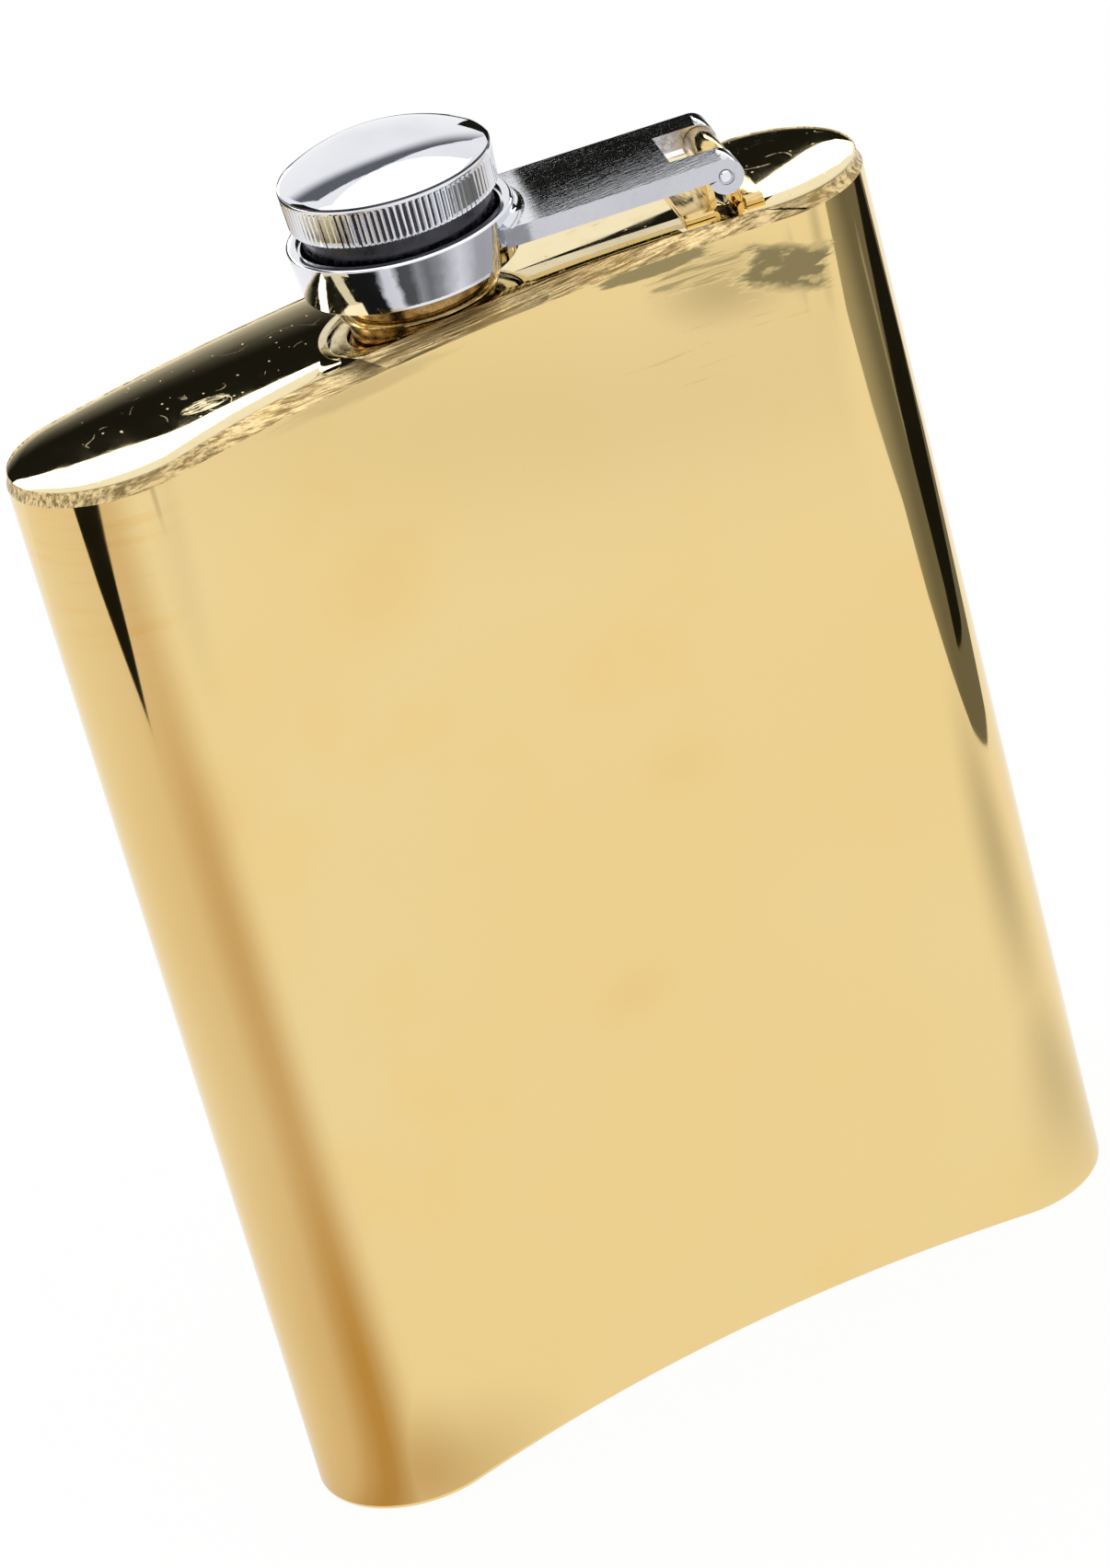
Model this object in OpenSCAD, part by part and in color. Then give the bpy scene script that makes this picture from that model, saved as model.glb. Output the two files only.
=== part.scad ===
// Hip flask with a captive screw cap on a hinged arm.
// Millimetres, +Z up. Origin at the middle of the flat base, the hollowed side faces -Y
// and the hinge is at the +X end. The cap is drawn unscrewed, standing clear of its thread.

/* [Flask body] */
// Width over the two rounded sides
body_w = 95; // [84:1:104]
// Height of the body, base to top plate
body_h = 122; // [90:1:150]
// Radius of the rounded sides
side_r = 10.9; // [10:0.1:11.5]
// How far the back bulges past the rounded sides
bulge = 4.88; // [4:0.01:6]
// How far the front is hollowed at its middle
hollow = 4.392; // [3:0.001:6]
// Thickness of the sheet that the sides are rolled from
sheet_t = 0.5; // [0.4:0.1:0.8]
// Thickness of the two end plates
plate_t = 0.7; // [0.6:0.1:1]
// Height of the ground weld band at each end
band_h = 1.6; // [1.2:0.1:2.2]
// How far each band leans in over that height
band_in = 0.8; // [0.6:0.1:1.2]

/* [Neck] */
// Radius of the pouring hole
mouth_r = 6.6; // [5.6:0.2:6.8]
// Height of the neck above the top plate
neck_h = 5.4; // [4.6:0.2:5.6]
// Distance of the neck behind the middle of the depth
neck_y = 2.2; // [1:0.2:3]

/* [Cap] */
// Radius of the knurled rim at its top
cap_r = 11; // [10.9:0.05:11.4]
// Height of the top of the cap above the top plate
cap_top = 17.5; // [16.5:0.1:18.5]
// Height of the knurled rim
knurl_h = 4; // [3:0.2:5]
// How far the cap goes down when it is screwed home
cap_travel = 2; // [1.6:0.1:2]

/* [Arm and hinge] */
// Distance from the cap's axis to the hinge pin
arm_reach = 32; // [29:0.5:34]
// Width of the arm
arm_w = 15; // [13:0.5:15]
// Thickness of the arm
arm_t = 2; // [1.6:0.1:2.4]
// Turn of the arm about the neck, which follows the curve of the flask
arm_turn = 12.5; // [6:0.5:13]
// Radius of the two round knuckles
knuckle_r = 1.85; // [1.6:0.05:2]
// Radius of the hinge pin
pin_r = 0.65; // [0.5:0.05:0.75]
// Width of the slot between the knuckles
slot_w = 7.6; // [6:0.2:8]

/* [Hidden] */
gold = "goldenrod";
chrome = "silver";
rubber = "dimgray";
round_fn = 120;
curve_fn = 720;
past = 1; // how far a cutter runs past the face that it cuts
plate_gap = 0.1; // land left between the lean of a weld band and the plate's edge

// Outline of the body: two round sides joined by an arc in front and an arc behind,
// each arc tangent to both sides.
body_d = 2 * side_r + bulge;
side = [body_w / 2 - side_r, side_r - body_d / 2];
back_r = (side.x ^ 2 / bulge + bulge) / 2 + side_r;
back_y = body_d / 2 - back_r;
front_r = (side.x ^ 2 / hollow + hollow) / 2 - side_r;
front_y = hollow - body_d / 2 - front_r;
back_angle = atan2(side.y - back_y, side.x);
front_angle = atan2(front_y - side.y, -side.x);
sector_reach = 3 * side_r;
sector_steps = 4;

plate_in = band_in + plate_gap;
ledge_in = plate_in + 0.4; // how far the weld reaches in behind the plate's edge

// Neck, heights measured from the top plate
thread_root_r = 7.6;
thread_crest_r = 8;
thread_pitch = 1.5;
thread_turns = 2;
thread_top = neck_h - 0.5;
neck_flange_r = 9.4;
neck_flange_t = 0.8;
neck_weld_r = 8.5;
neck_weld_h = 0.5;

// Cap parts, heights measured from the top plate with the cap unscrewed
knurl_top = 14.1;
knurl_bottom = knurl_top - knurl_h;
knurl_taper = 0.2;
dome_r = 20.5;
cap_wall = 1;
cap_skirt_r = 9.9;
cap_skirt_bottom = 7.2;
insert_r = 8.95;
insert_bore_r = 8.25;
insert_bottom = 3;
insert_roof_t = 0.8;
gasket_bottom = neck_h + cap_travel + 0.05;
gasket_t = 1.2;
gasket_hole_r = 2;
washer_t = 0.7;
washer_r = 10;
washer_play = 0.05;
lip_t = 0.2;
lip_r = 9.35;

// Arm and its ring, heights measured from the top plate
ring_bottom = 2.9;
ring_top = 8.05;
ring_low_r = 11.2;
ring_top_r = 11.7;
ring_edge = 0.2;
ring_step = 0.65;
ring_mouth_r = 10.65;
ring_bore_r = 10.3;
floor_bottom = 4;
floor_top = 4.9;
floor_hole_r = 9.15;
pin_z = 4.6;
arm_top = pin_z + knuckle_r;
slot_start = arm_reach - 4.6;
pin_play = 0.05;
pin_sink_r = 0.85;
pin_sink = 0.35;
pin_inset = 0.1;

// Bracket, a strap bent over the pin with a foot on each side
strap_t = 0.7;
strap_w = 7.2;
loop_r = 1.65;
foot_w = 10.4;
foot_left = 3.1;
foot_right = 1.9;

function on_circle(centre, r, a) = centre + r * [cos(a), sin(a)];
function mirrored(p) = [-p.x, p.y];

// The body's outline as a solid of height h, drawn in by in_low below and in_high above
module outline(h, in_low, in_high) {
    slope = (in_high - in_low) / h;
    difference() {
        intersection() {
            translate([0, back_y, 0])
                cylinder(h = h, r1 = back_r - in_low, r2 = back_r - in_high, $fn = curve_fn);
            linear_extrude(h) polygon([
                side, on_circle(side, sector_reach, back_angle),
                mirrored(on_circle(side, sector_reach, back_angle)), mirrored(side),
                mirrored(on_circle(side, sector_reach, front_angle)),
                on_circle(side, sector_reach, front_angle)
            ]);
        }
        translate([0, front_y, -past])
            cylinder(h = h + 2 * past, r1 = front_r + in_low - slope * past,
                r2 = front_r + in_high + slope * past, $fn = curve_fn);
    }
    sector_turn = (back_angle - front_angle) / sector_steps;
    for (left = [0, 1]) mirror([left, 0, 0]) intersection() {
        translate([side.x, side.y, 0])
            cylinder(h = h, r1 = side_r - in_low, r2 = side_r - in_high, $fn = round_fn);
        linear_extrude(h) polygon(concat([side], [for (i = [0 : sector_steps])
            on_circle(side, sector_reach, front_angle + i * sector_turn)]));
    }
}

module at_cap() {
    translate([0, neck_y, body_h]) rotate(-arm_turn) children();
}

module ring_of(outer, inner, low, high) {
    translate([0, 0, low]) difference() {
        cylinder(h = high - low, r = outer, $fn = round_fn);
        translate([0, 0, -past]) cylinder(h = high - low + 2 * past, r = inner, $fn = round_fn);
    }
}

module body_shell() {
    color(gold) translate([0, 0, band_h]) difference() {
        outline(body_h - 2 * band_h, 0, 0);
        translate([0, 0, -past]) outline(body_h - 2 * band_h + 2 * past, sheet_t, sheet_t);
    }
}

module base_plate() {
    color(gold) outline(plate_t, plate_in, plate_in);
}

module weld_band() {
    difference() {
        outline(band_h, band_in, 0);
        translate([0, 0, plate_t]) outline(band_h, ledge_in, ledge_in);
        translate([0, 0, -past]) outline(plate_t + past, plate_in, plate_in);
    }
}

module base_weld() {
    color(gold) weld_band();
}

module top_weld() {
    color(gold) translate([0, 0, body_h]) mirror([0, 0, 1]) weld_band();
}

module top_plate() {
    color(gold) difference() {
        translate([0, 0, body_h - plate_t]) outline(plate_t, plate_in, plate_in);
        translate([0, neck_y, body_h - plate_t - past])
            cylinder(h = plate_t + 2 * past, r = thread_root_r, $fn = round_fn);
    }
}

module thread_ridges() {
    for (i = [0 : thread_turns - 1]) translate([0, 0, thread_top - (i + 0.5) * thread_pitch])
        for (up = [0, 1]) mirror([0, 0, up])
            cylinder(h = thread_pitch / 3, r1 = thread_crest_r, r2 = thread_root_r, $fn = round_fn);
}

module neck() {
    color(gold) at_cap() difference() {
        union() {
            translate([0, 0, -plate_t]) cylinder(h = plate_t + neck_h, r = thread_root_r, $fn = round_fn);
            translate([0, 0, -plate_t - neck_flange_t])
                cylinder(h = neck_flange_t, r = neck_flange_r, $fn = round_fn);
            thread_ridges();
        }
        translate([0, 0, -plate_t - neck_flange_t - past])
            cylinder(h = plate_t + neck_flange_t + neck_h + 2 * past, r = mouth_r, $fn = round_fn);
    }
}

module neck_weld() {
    color(gold) at_cap() difference() {
        cylinder(h = neck_weld_h, r1 = neck_weld_r, r2 = thread_root_r + 0.1, $fn = round_fn);
        translate([0, 0, -past]) cylinder(h = neck_weld_h + 2 * past, r = thread_root_r, $fn = round_fn);
    }
}

module hinge_bracket() {
    leg_out = loop_r - strap_t / 2;
    color(gold) at_cap() translate([arm_reach, 0, 0]) {
        difference() {
            union() {
                translate([0, strap_w / 2, pin_z]) rotate([90, 0, 0])
                    cylinder(h = strap_w, r = loop_r, $fn = round_fn);
                translate([-loop_r, -strap_w / 2, 0]) cube([2 * loop_r, strap_w, pin_z]);
                translate([-loop_r - foot_left, -foot_w / 2, 0])
                    cube([2 * loop_r + foot_left + foot_right, foot_w, strap_t]);
            }
            translate([0, strap_w / 2 + past, pin_z]) rotate([90, 0, 0])
                cylinder(h = strap_w + 2 * past, r = pin_r, $fn = round_fn);
            translate([-loop_r + strap_t, -foot_w / 2 - past, -past])
                cube([2 * (loop_r - strap_t), foot_w + 2 * past, pin_z - leg_out + past]);
        }
    }
}

module hinge_pin() {
    length = arm_w - 2 * pin_inset;
    color(chrome) at_cap() translate([arm_reach, length / 2, pin_z]) rotate([90, 0, 0])
        cylinder(h = length, r = pin_r, $fn = round_fn);
}

module ring_body() {
    translate([0, 0, ring_bottom])
        cylinder(h = ring_top - ring_edge - ring_bottom, r1 = ring_low_r, r2 = ring_top_r, $fn = round_fn);
    translate([0, 0, ring_top - ring_edge])
        cylinder(h = ring_edge, r1 = ring_top_r, r2 = ring_top_r - ring_edge, $fn = round_fn);
}

module ring_hollow() {
    translate([0, 0, ring_top - ring_step]) cylinder(h = ring_step + past, r = ring_mouth_r, $fn = round_fn);
    translate([0, 0, floor_top]) cylinder(h = ring_top - floor_top, r = ring_bore_r, $fn = round_fn);
    cylinder(h = floor_top + past, r = floor_hole_r, $fn = round_fn);
    translate([0, 0, ring_bottom - past])
        cylinder(h = floor_bottom - ring_bottom + past, r = ring_bore_r, $fn = round_fn);
}

module cap_arm() {
    color(chrome) at_cap() difference() {
        union() {
            ring_body();
            translate([0, -arm_w / 2, arm_top - arm_t]) cube([arm_reach, arm_w, arm_t]);
            translate([arm_reach, arm_w / 2, pin_z]) rotate([90, 0, 0])
                cylinder(h = arm_w, r = knuckle_r, $fn = round_fn);
        }
        ring_hollow();
        translate([slot_start, -slot_w / 2, 0]) cube([2 * (arm_reach - slot_start), slot_w, 2 * arm_top]);
        translate([arm_reach, arm_w / 2 + past, pin_z]) rotate([90, 0, 0])
            cylinder(h = arm_w + 2 * past, r = pin_r + pin_play, $fn = round_fn);
        for (far = [0, 1]) mirror([0, far, 0])
            translate([arm_reach, -arm_w / 2 + pin_sink, pin_z]) rotate([90, 0, 0])
                cylinder(h = pin_sink + past, r = pin_sink_r, $fn = round_fn);
    }
}

module retaining_washer() {
    low = insert_bottom + lip_t + washer_play;
    color(chrome) at_cap() ring_of(washer_r, insert_r + washer_play, low, low + washer_t);
}

module cap_insert() {
    roof = gasket_bottom + gasket_t;
    color(chrome) at_cap() {
        ring_of(insert_r, insert_bore_r, insert_bottom, roof);
        ring_of(lip_r, insert_bore_r, insert_bottom, insert_bottom + lip_t);
        translate([0, 0, roof]) cylinder(h = insert_roof_t, r = insert_r, $fn = round_fn);
    }
}

module sealing_gasket() {
    color(rubber) at_cap() ring_of(insert_bore_r, gasket_hole_r, gasket_bottom, gasket_bottom + gasket_t);
}

module dome(r, wall) {
    intersection() {
        translate([0, 0, cap_top - dome_r]) sphere(r = dome_r - wall, $fn = 2 * round_fn);
        translate([0, 0, knurl_bottom]) cylinder(h = cap_top - knurl_bottom, r = r, $fn = round_fn);
    }
}

module cap_shell() {
    color(chrome) at_cap() difference() {
        union() {
            translate([0, 0, cap_skirt_bottom])
                cylinder(h = knurl_top - cap_skirt_bottom, r = cap_skirt_r, $fn = round_fn);
            translate([0, 0, knurl_bottom])
                cylinder(h = knurl_h, r1 = cap_r - knurl_taper, r2 = cap_r, $fn = round_fn);
            intersection() {
                dome(cap_r, 0);
                translate([0, 0, knurl_top]) cylinder(h = dome_r, r = cap_r, $fn = round_fn);
            }
        }
        translate([0, 0, cap_skirt_bottom - past])
            cylinder(h = knurl_bottom + past - cap_skirt_bottom + past, r = insert_r, $fn = round_fn);
        dome(insert_r, cap_wall);
    }
}

body_shell();
base_plate();
base_weld();
top_plate();
top_weld();
neck();
neck_weld();
hinge_bracket();
hinge_pin();
cap_arm();
retaining_washer();
cap_insert();
cap_shell();
sealing_gasket();
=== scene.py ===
import math
import bpy
from mathutils import Matrix, Vector


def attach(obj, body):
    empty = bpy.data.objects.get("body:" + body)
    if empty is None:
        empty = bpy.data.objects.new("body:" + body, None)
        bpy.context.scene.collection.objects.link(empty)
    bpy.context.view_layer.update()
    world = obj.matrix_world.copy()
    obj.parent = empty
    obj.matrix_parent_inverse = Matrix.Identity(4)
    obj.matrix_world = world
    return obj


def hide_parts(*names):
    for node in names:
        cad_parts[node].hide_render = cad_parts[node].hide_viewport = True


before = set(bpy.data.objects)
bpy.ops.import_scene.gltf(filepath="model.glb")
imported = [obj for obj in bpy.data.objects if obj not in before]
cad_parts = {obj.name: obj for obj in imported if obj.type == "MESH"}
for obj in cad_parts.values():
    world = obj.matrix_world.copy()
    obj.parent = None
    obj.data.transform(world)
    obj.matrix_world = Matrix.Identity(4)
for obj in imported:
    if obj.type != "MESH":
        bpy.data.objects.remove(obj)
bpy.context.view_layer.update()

bpy.ops.object.select_all(action="DESELECT")
print("frame loaded:", len(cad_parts), "nodes")

# Pieces are modelled in millimetres and brought to metres when they are finished.
millimetre = 0.001
nearPole = 0.02                                           # a lathe shape closes this near its axis

flask = {
    "height": 122.0,
    "sideX": 36.6, "sideY": -2.44, "sideRadius": 10.9,    # the two rounded sides
    "frontApex": -8.948, "backApex": 13.34,               # the hollowed face and the bulging face at x = 0
    "sheet": 0.5, "bandHeight": 1.6,
    "lobeSteps": 56, "faceSteps": 96,
}
capPlace = {"y": 2.2, "z": 122.0, "turn": -12.5}          # what is on the neck's axis turns with the arm


def editing(on):
    bpy.ops.object.mode_set(mode="EDIT" if on else "OBJECT")


def pick(test, kind="VERT"):
    # selects what passes the test: points by place, edges by their ends' numbers, faces by place and normal
    editing(False)
    mesh = bpy.context.object.data
    for items in (mesh.vertices, mesh.edges, mesh.polygons):
        items.foreach_set("select", [False] * len(items))
    if kind == "VERT":
        for point in mesh.vertices:
            point.select = test(point.co)
    elif kind == "EDGE":
        for edge in mesh.edges:
            edge.select = test(*edge.vertices)
    else:
        for face in mesh.polygons:
            face.select = test(face.center, face.normal)
    editing(True)
    bpy.ops.mesh.select_mode(type=kind)


def everything():
    bpy.ops.mesh.select_all(action="SELECT")


def pull(x, y, z):
    # carries what is selected along by so much and leaves a wall behind it
    bpy.ops.mesh.extrude_region_move(TRANSFORM_OT_translate={"value": (x, y, z)})


def weld():
    editing(True)
    bpy.ops.mesh.select_mode(type="VERT")
    everything()
    bpy.ops.mesh.remove_doubles(threshold=0.001)
    bpy.ops.mesh.normals_make_consistent(inside=False)


def dot(x, y, z):
    # one point, from a small plane whose corners are merged
    bpy.ops.object.select_all(action="DESELECT")
    bpy.ops.mesh.primitive_plane_add(size=1, location=(x, y, z))
    bpy.ops.object.transform_apply(location=True, rotation=False, scale=False)
    editing(True)
    bpy.ops.mesh.select_mode(type="VERT")
    everything()
    bpy.ops.mesh.merge(type="CENTER")


def sweep(steps, degrees, centre, axis):
    # right-handed about the axis; the spin operator itself turns the other way
    bpy.ops.mesh.spin(steps=steps, angle=-math.radians(degrees), center=centre, axis=axis)


def kidney(sides, front, back, z):
    # the body's outline, drawn in by so much at its rounded sides, front and back, as one closed loop
    radius = flask["sideRadius"] - sides
    sx, sy = flask["sideX"], flask["sideY"]
    bulge = flask["backApex"] - back - (sy + radius)
    hollow = flask["frontApex"] + front - (sy - radius)
    backRadius = (sx ** 2 / bulge + bulge) / 2 + radius
    frontRadius = (sx ** 2 / hollow + hollow) / 2 - radius
    backY = flask["backApex"] - back - backRadius
    frontY = flask["frontApex"] + front - frontRadius
    backAngle = math.degrees(math.atan2(sy - backY, sx))
    frontAngle = math.degrees(math.atan2(frontY - sy, -sx))
    start = math.radians(frontAngle)
    dot(sx + radius * math.cos(start), sy + radius * math.sin(start), z)
    around = backAngle - frontAngle
    sweep(flask["lobeSteps"], around, (sx, sy, z), (0, 0, 1))
    sweep(flask["faceSteps"], 180 - 2 * backAngle, (0, backY, z), (0, 0, 1))
    sweep(flask["lobeSteps"], around, (-sx, sy, z), (0, 0, 1))
    sweep(flask["faceSteps"], 2 * (frontAngle + 90), (0, frontY, z), (0, 0, 1))
    weld()
    editing(False)
    return bpy.context.object


def turned(steps, rings, pole=False):
    # a lathe shape: a circle extruded and resized from ring to ring
    radius, z = rings[0]
    bpy.ops.object.select_all(action="DESELECT")
    bpy.ops.mesh.primitive_circle_add(vertices=steps, radius=radius, location=(0, 0, z))
    bpy.ops.object.transform_apply(location=True, rotation=False, scale=False)
    editing(True)
    bpy.ops.mesh.select_mode(type="VERT")
    everything()
    for nextRadius, nextZ in rings[1:]:
        pull(0, 0, nextZ - z)
        size = nextRadius / radius
        bpy.ops.transform.resize(value=(size, size, 1), center_override=(0, 0, nextZ))
        radius, z = nextRadius, nextZ
    if pole:
        bpy.ops.mesh.merge(type="CENTER")
    weld()
    editing(False)
    return bpy.context.object


def useOnly(piece):
    bpy.ops.object.select_all(action="DESELECT")
    piece.select_set(True)
    bpy.context.view_layer.objects.active = piece


def reshape(piece, kind, **settings):
    # adds a modifier and applies it
    modifier = piece.modifiers.new(kind, kind)
    for key, value in settings.items():
        setattr(modifier, key, value)
    useOnly(piece)
    bpy.ops.object.modifier_apply(modifier=modifier.name)


def softenEdges(piece, width, segments=3, degrees=30):
    reshape(piece, "BEVEL", width=width, segments=segments, limit_method="ANGLE",
            angle_limit=math.radians(degrees), use_clamp_overlap=True)


def carve(piece, cutter):
    reshape(piece, "BOOLEAN", operation="DIFFERENCE", solver="EXACT", object=cutter)
    bpy.data.objects.remove(cutter)


def joinTo(piece, *others):
    useOnly(piece)
    for other in others:
        other.select_set(True)
    bpy.ops.object.join()
    return piece


def bridge(loops):
    # joins loops into one mesh and bridges each to the next, the last to the first
    whole = joinTo(*loops)
    count = len(whole.data.vertices) // len(loops)
    for i in range(len(loops)):
        pair = {i, (i + 1) % len(loops)}
        pick(lambda a, b: a // count == b // count and a // count in pair, "EDGE")
        bpy.ops.mesh.bridge_edge_loops()
    weld()
    editing(False)
    return whole


def finishPiece(piece, name, body, nodes, finishes, smooth=35, onCap=False):
    useOnly(piece)
    piece.name = name
    piece.data.name = name
    if onCap:
        piece.rotation_euler = (0, 0, math.radians(capPlace["turn"]))
        piece.location = (0, capPlace["y"], capPlace["z"])
        bpy.ops.object.transform_apply(location=True, rotation=True, scale=False)
    piece.scale = (millimetre,) * 3
    bpy.ops.object.transform_apply(location=True, rotation=True, scale=True)
    bpy.ops.object.shade_smooth_by_angle(angle=math.radians(smooth))
    for face in piece.data.polygons:
        if len(face.vertices) > 4:
            face.use_smooth = False                       # a wide flat face keeps its own flat light
    for finish in finishes:
        piece.data.materials.append(finish)
    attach(piece, body)
    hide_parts(*nodes)
    print("piece", name, len(piece.data.polygons), "faces")
    return piece


class Flow:
    # a socket's value, so that shader maths reads as plain sums
    def __init__(self, maker, socket):
        self.maker, self.socket = maker, socket

    def sum(self, how, a, b):
        return self.maker.node("ShaderNodeMath", {"operation": how}, {0: a, 1: b})

    def __add__(self, other): return self.sum("ADD", self, other)
    def __radd__(self, other): return self.sum("ADD", other, self)
    def __sub__(self, other): return self.sum("SUBTRACT", self, other)
    def __rsub__(self, other): return self.sum("SUBTRACT", other, self)
    def __mul__(self, other): return self.sum("MULTIPLY", self, other)
    def __rmul__(self, other): return self.sum("MULTIPLY", other, self)
    def __truediv__(self, other): return self.sum("DIVIDE", self, other)
    def __pow__(self, other): return self.sum("POWER", self, other)
    def __abs__(self): return self.sum("ABSOLUTE", self, 0)
    def most(self, other): return self.sum("MAXIMUM", self, other)


class Finish:
    def __init__(self, name, settings):
        self.material = bpy.data.materials.new(name)
        self.material.use_nodes = True
        self.tree = self.material.node_tree
        self.shader = self.tree.nodes["Principled BSDF"]
        for socket, value in settings.items():
            self.shader.inputs[socket].default_value = value
        place = self.node("ShaderNodeTexCoord", out="Object")
        self.place = self.node("ShaderNodeMapping", {}, {"Vector": place, "Scale": (1 / millimetre,) * 3})
        self.x, self.y, self.z = self.axes(self.place)

    def node(self, kind, settings=None, inputs=None, out=0):
        made = self.tree.nodes.new(kind)
        for key, value in (settings or {}).items():
            if key == "stops":
                ramp = made.color_ramp
                while len(ramp.elements) < len(value):
                    ramp.elements.new(0.5)
                for element, (position, colour) in zip(ramp.elements, value):
                    element.position, element.color = position, colour
            else:
                setattr(made, key, value)
        for key, value in (inputs or {}).items():
            if isinstance(value, Flow):
                self.tree.links.new(value.socket, made.inputs[key])
            else:
                made.inputs[key].default_value = value
        return Flow(self, made.outputs[out])

    def axes(self, vector):
        made = self.node("ShaderNodeSeparateXYZ", {}, {0: vector})
        return tuple(Flow(self, made.socket.node.outputs[i]) for i in range(3))

    def noise(self, scale, detail=2.0, rough=0.5, stretch=(1, 1, 1), turn=(0, 0, 0), shift=(0, 0, 0)):
        # scale is in waves per millimetre, stretch how much finer it is along each axis
        where = self.node("ShaderNodeMapping", {},
                          {"Vector": self.place, "Scale": stretch, "Rotation": turn, "Location": shift})
        return self.node("ShaderNodeTexNoise", {},
                         {"Vector": where, "Scale": scale, "Detail": detail, "Roughness": rough})

    def cells(self, scale):
        return self.node("ShaderNodeTexVoronoi", {"feature": "F1"}, {"Vector": self.place, "Scale": scale})

    def fade(self, value, low, high, start=0.0, end=1.0):
        # goes smoothly from start to end while the value goes from low to high
        return self.node("ShaderNodeMapRange", {"interpolation_type": "SMOOTHSTEP", "clamp": True},
                         {"Value": value, "From Min": low, "From Max": high, "To Min": start, "To Max": end})

    def greys(self, value, stops, blue=1.0):
        # a grey for each value, from a list of values and how bright each is
        first, last = stops[0][0], stops[-1][0]
        share = self.node("ShaderNodeMapRange", {"clamp": True},
                          {"Value": value, "From Min": first, "From Max": last})
        ramp = [((at - first) / (last - first), (grey, grey, grey * blue, 1)) for at, grey in stops]
        return self.node("ShaderNodeValToRGB", {"stops": ramp}, {"Fac": share})

    def blend(self, factor, a, b):
        mixed = self.node("ShaderNodeMix", {"data_type": "RGBA", "clamp_factor": True}, {"Factor": factor})
        made = mixed.socket.node
        colours = [s for s in made.inputs if s.type == "RGBA"]
        for socket, value in zip(colours, (a, b)):
            if isinstance(value, Flow):
                self.tree.links.new(value.socket, socket)
            else:
                socket.default_value = value
        return Flow(self, next(s for s in made.outputs if s.type == "RGBA"))

    def spot(self, centre, reach, ragged=0.5, amount=0.0, soft=0.2):
        # a patch, 1 at its middle and 0 outside, its edge softened and broken up by the noise given
        where = self.node("ShaderNodeMapping", {},
                          {"Vector": self.place, "Scale": tuple(1 / r for r in reach),
                           "Location": tuple(-c / r for c, r in zip(centre, reach))})
        far = self.node("ShaderNodeVectorMath", {"operation": "LENGTH"}, {0: where}, out="Value")
        return self.fade(far + (ragged - 0.5) * amount, 1.0, 1.0 - soft)

    def tilted(self, x, z, degrees):
        # distances along and across from a point of the front, turned by so much
        c, s = math.cos(math.radians(degrees)), math.sin(math.radians(degrees))
        along, up = self.x - x, self.z - z
        return along * c + up * s, up * c - along * s

    def feed(self, socket, value):
        self.tree.links.new(value.socket, self.shader.inputs[socket])

    def bump(self, height, distance, strength=1.0, under=None):
        inputs = {"Height": height, "Distance": distance * millimetre, "Strength": strength}
        if under:
            inputs["Normal"] = under
        return self.node("ShaderNodeBump", {}, inputs)


goldTones = {
    "bright": (0.84, 0.63, 0.28, 1), "warm": (0.86, 0.585, 0.20, 1), "pale": (0.86, 0.68, 0.36, 1),
    "orange": (0.80, 0.50, 0.15, 1), "ground": (0.86, 0.66, 0.34, 1), "groove": (0.24, 0.165, 0.065, 1),
    # deep is painted shade, the neck's dark brown under the ring
    "darkPatch": (0.26, 0.21, 0.10, 1), "plate": (0.90, 0.76, 0.45, 1), "deep": (0.46, 0.28, 0.10, 1),
}
chromeTones = {
    "bright": (0.80, 0.81, 0.85, 1), "dull": (0.60, 0.61, 0.65, 1), "satin": (0.60, 0.60, 0.65, 1),
    # dark and darker are painted shade, for gaps and recesses
    "satinDull": (0.50, 0.50, 0.55, 1), "dark": (0.06, 0.06, 0.07, 1), "darker": (0.03, 0.03, 0.035, 1),
}
warmClouds = [                                            # the place, reach and strength of each warmer cloud
    ((-1.5, -9, 43.8), (7, 9, 5), 0.25), ((9.9, -9, 66.7), (6, 9, 5), 0.2),
    ((-16, -10, 99), (9, 9, 9), 0.25), ((-39, -12, 84), (5, 9, 8), 0.25),
]
darkPatch = {"x": 33.3, "z": 115.4, "tilt": -20}             # the darker, rougher patch high on the front


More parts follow.
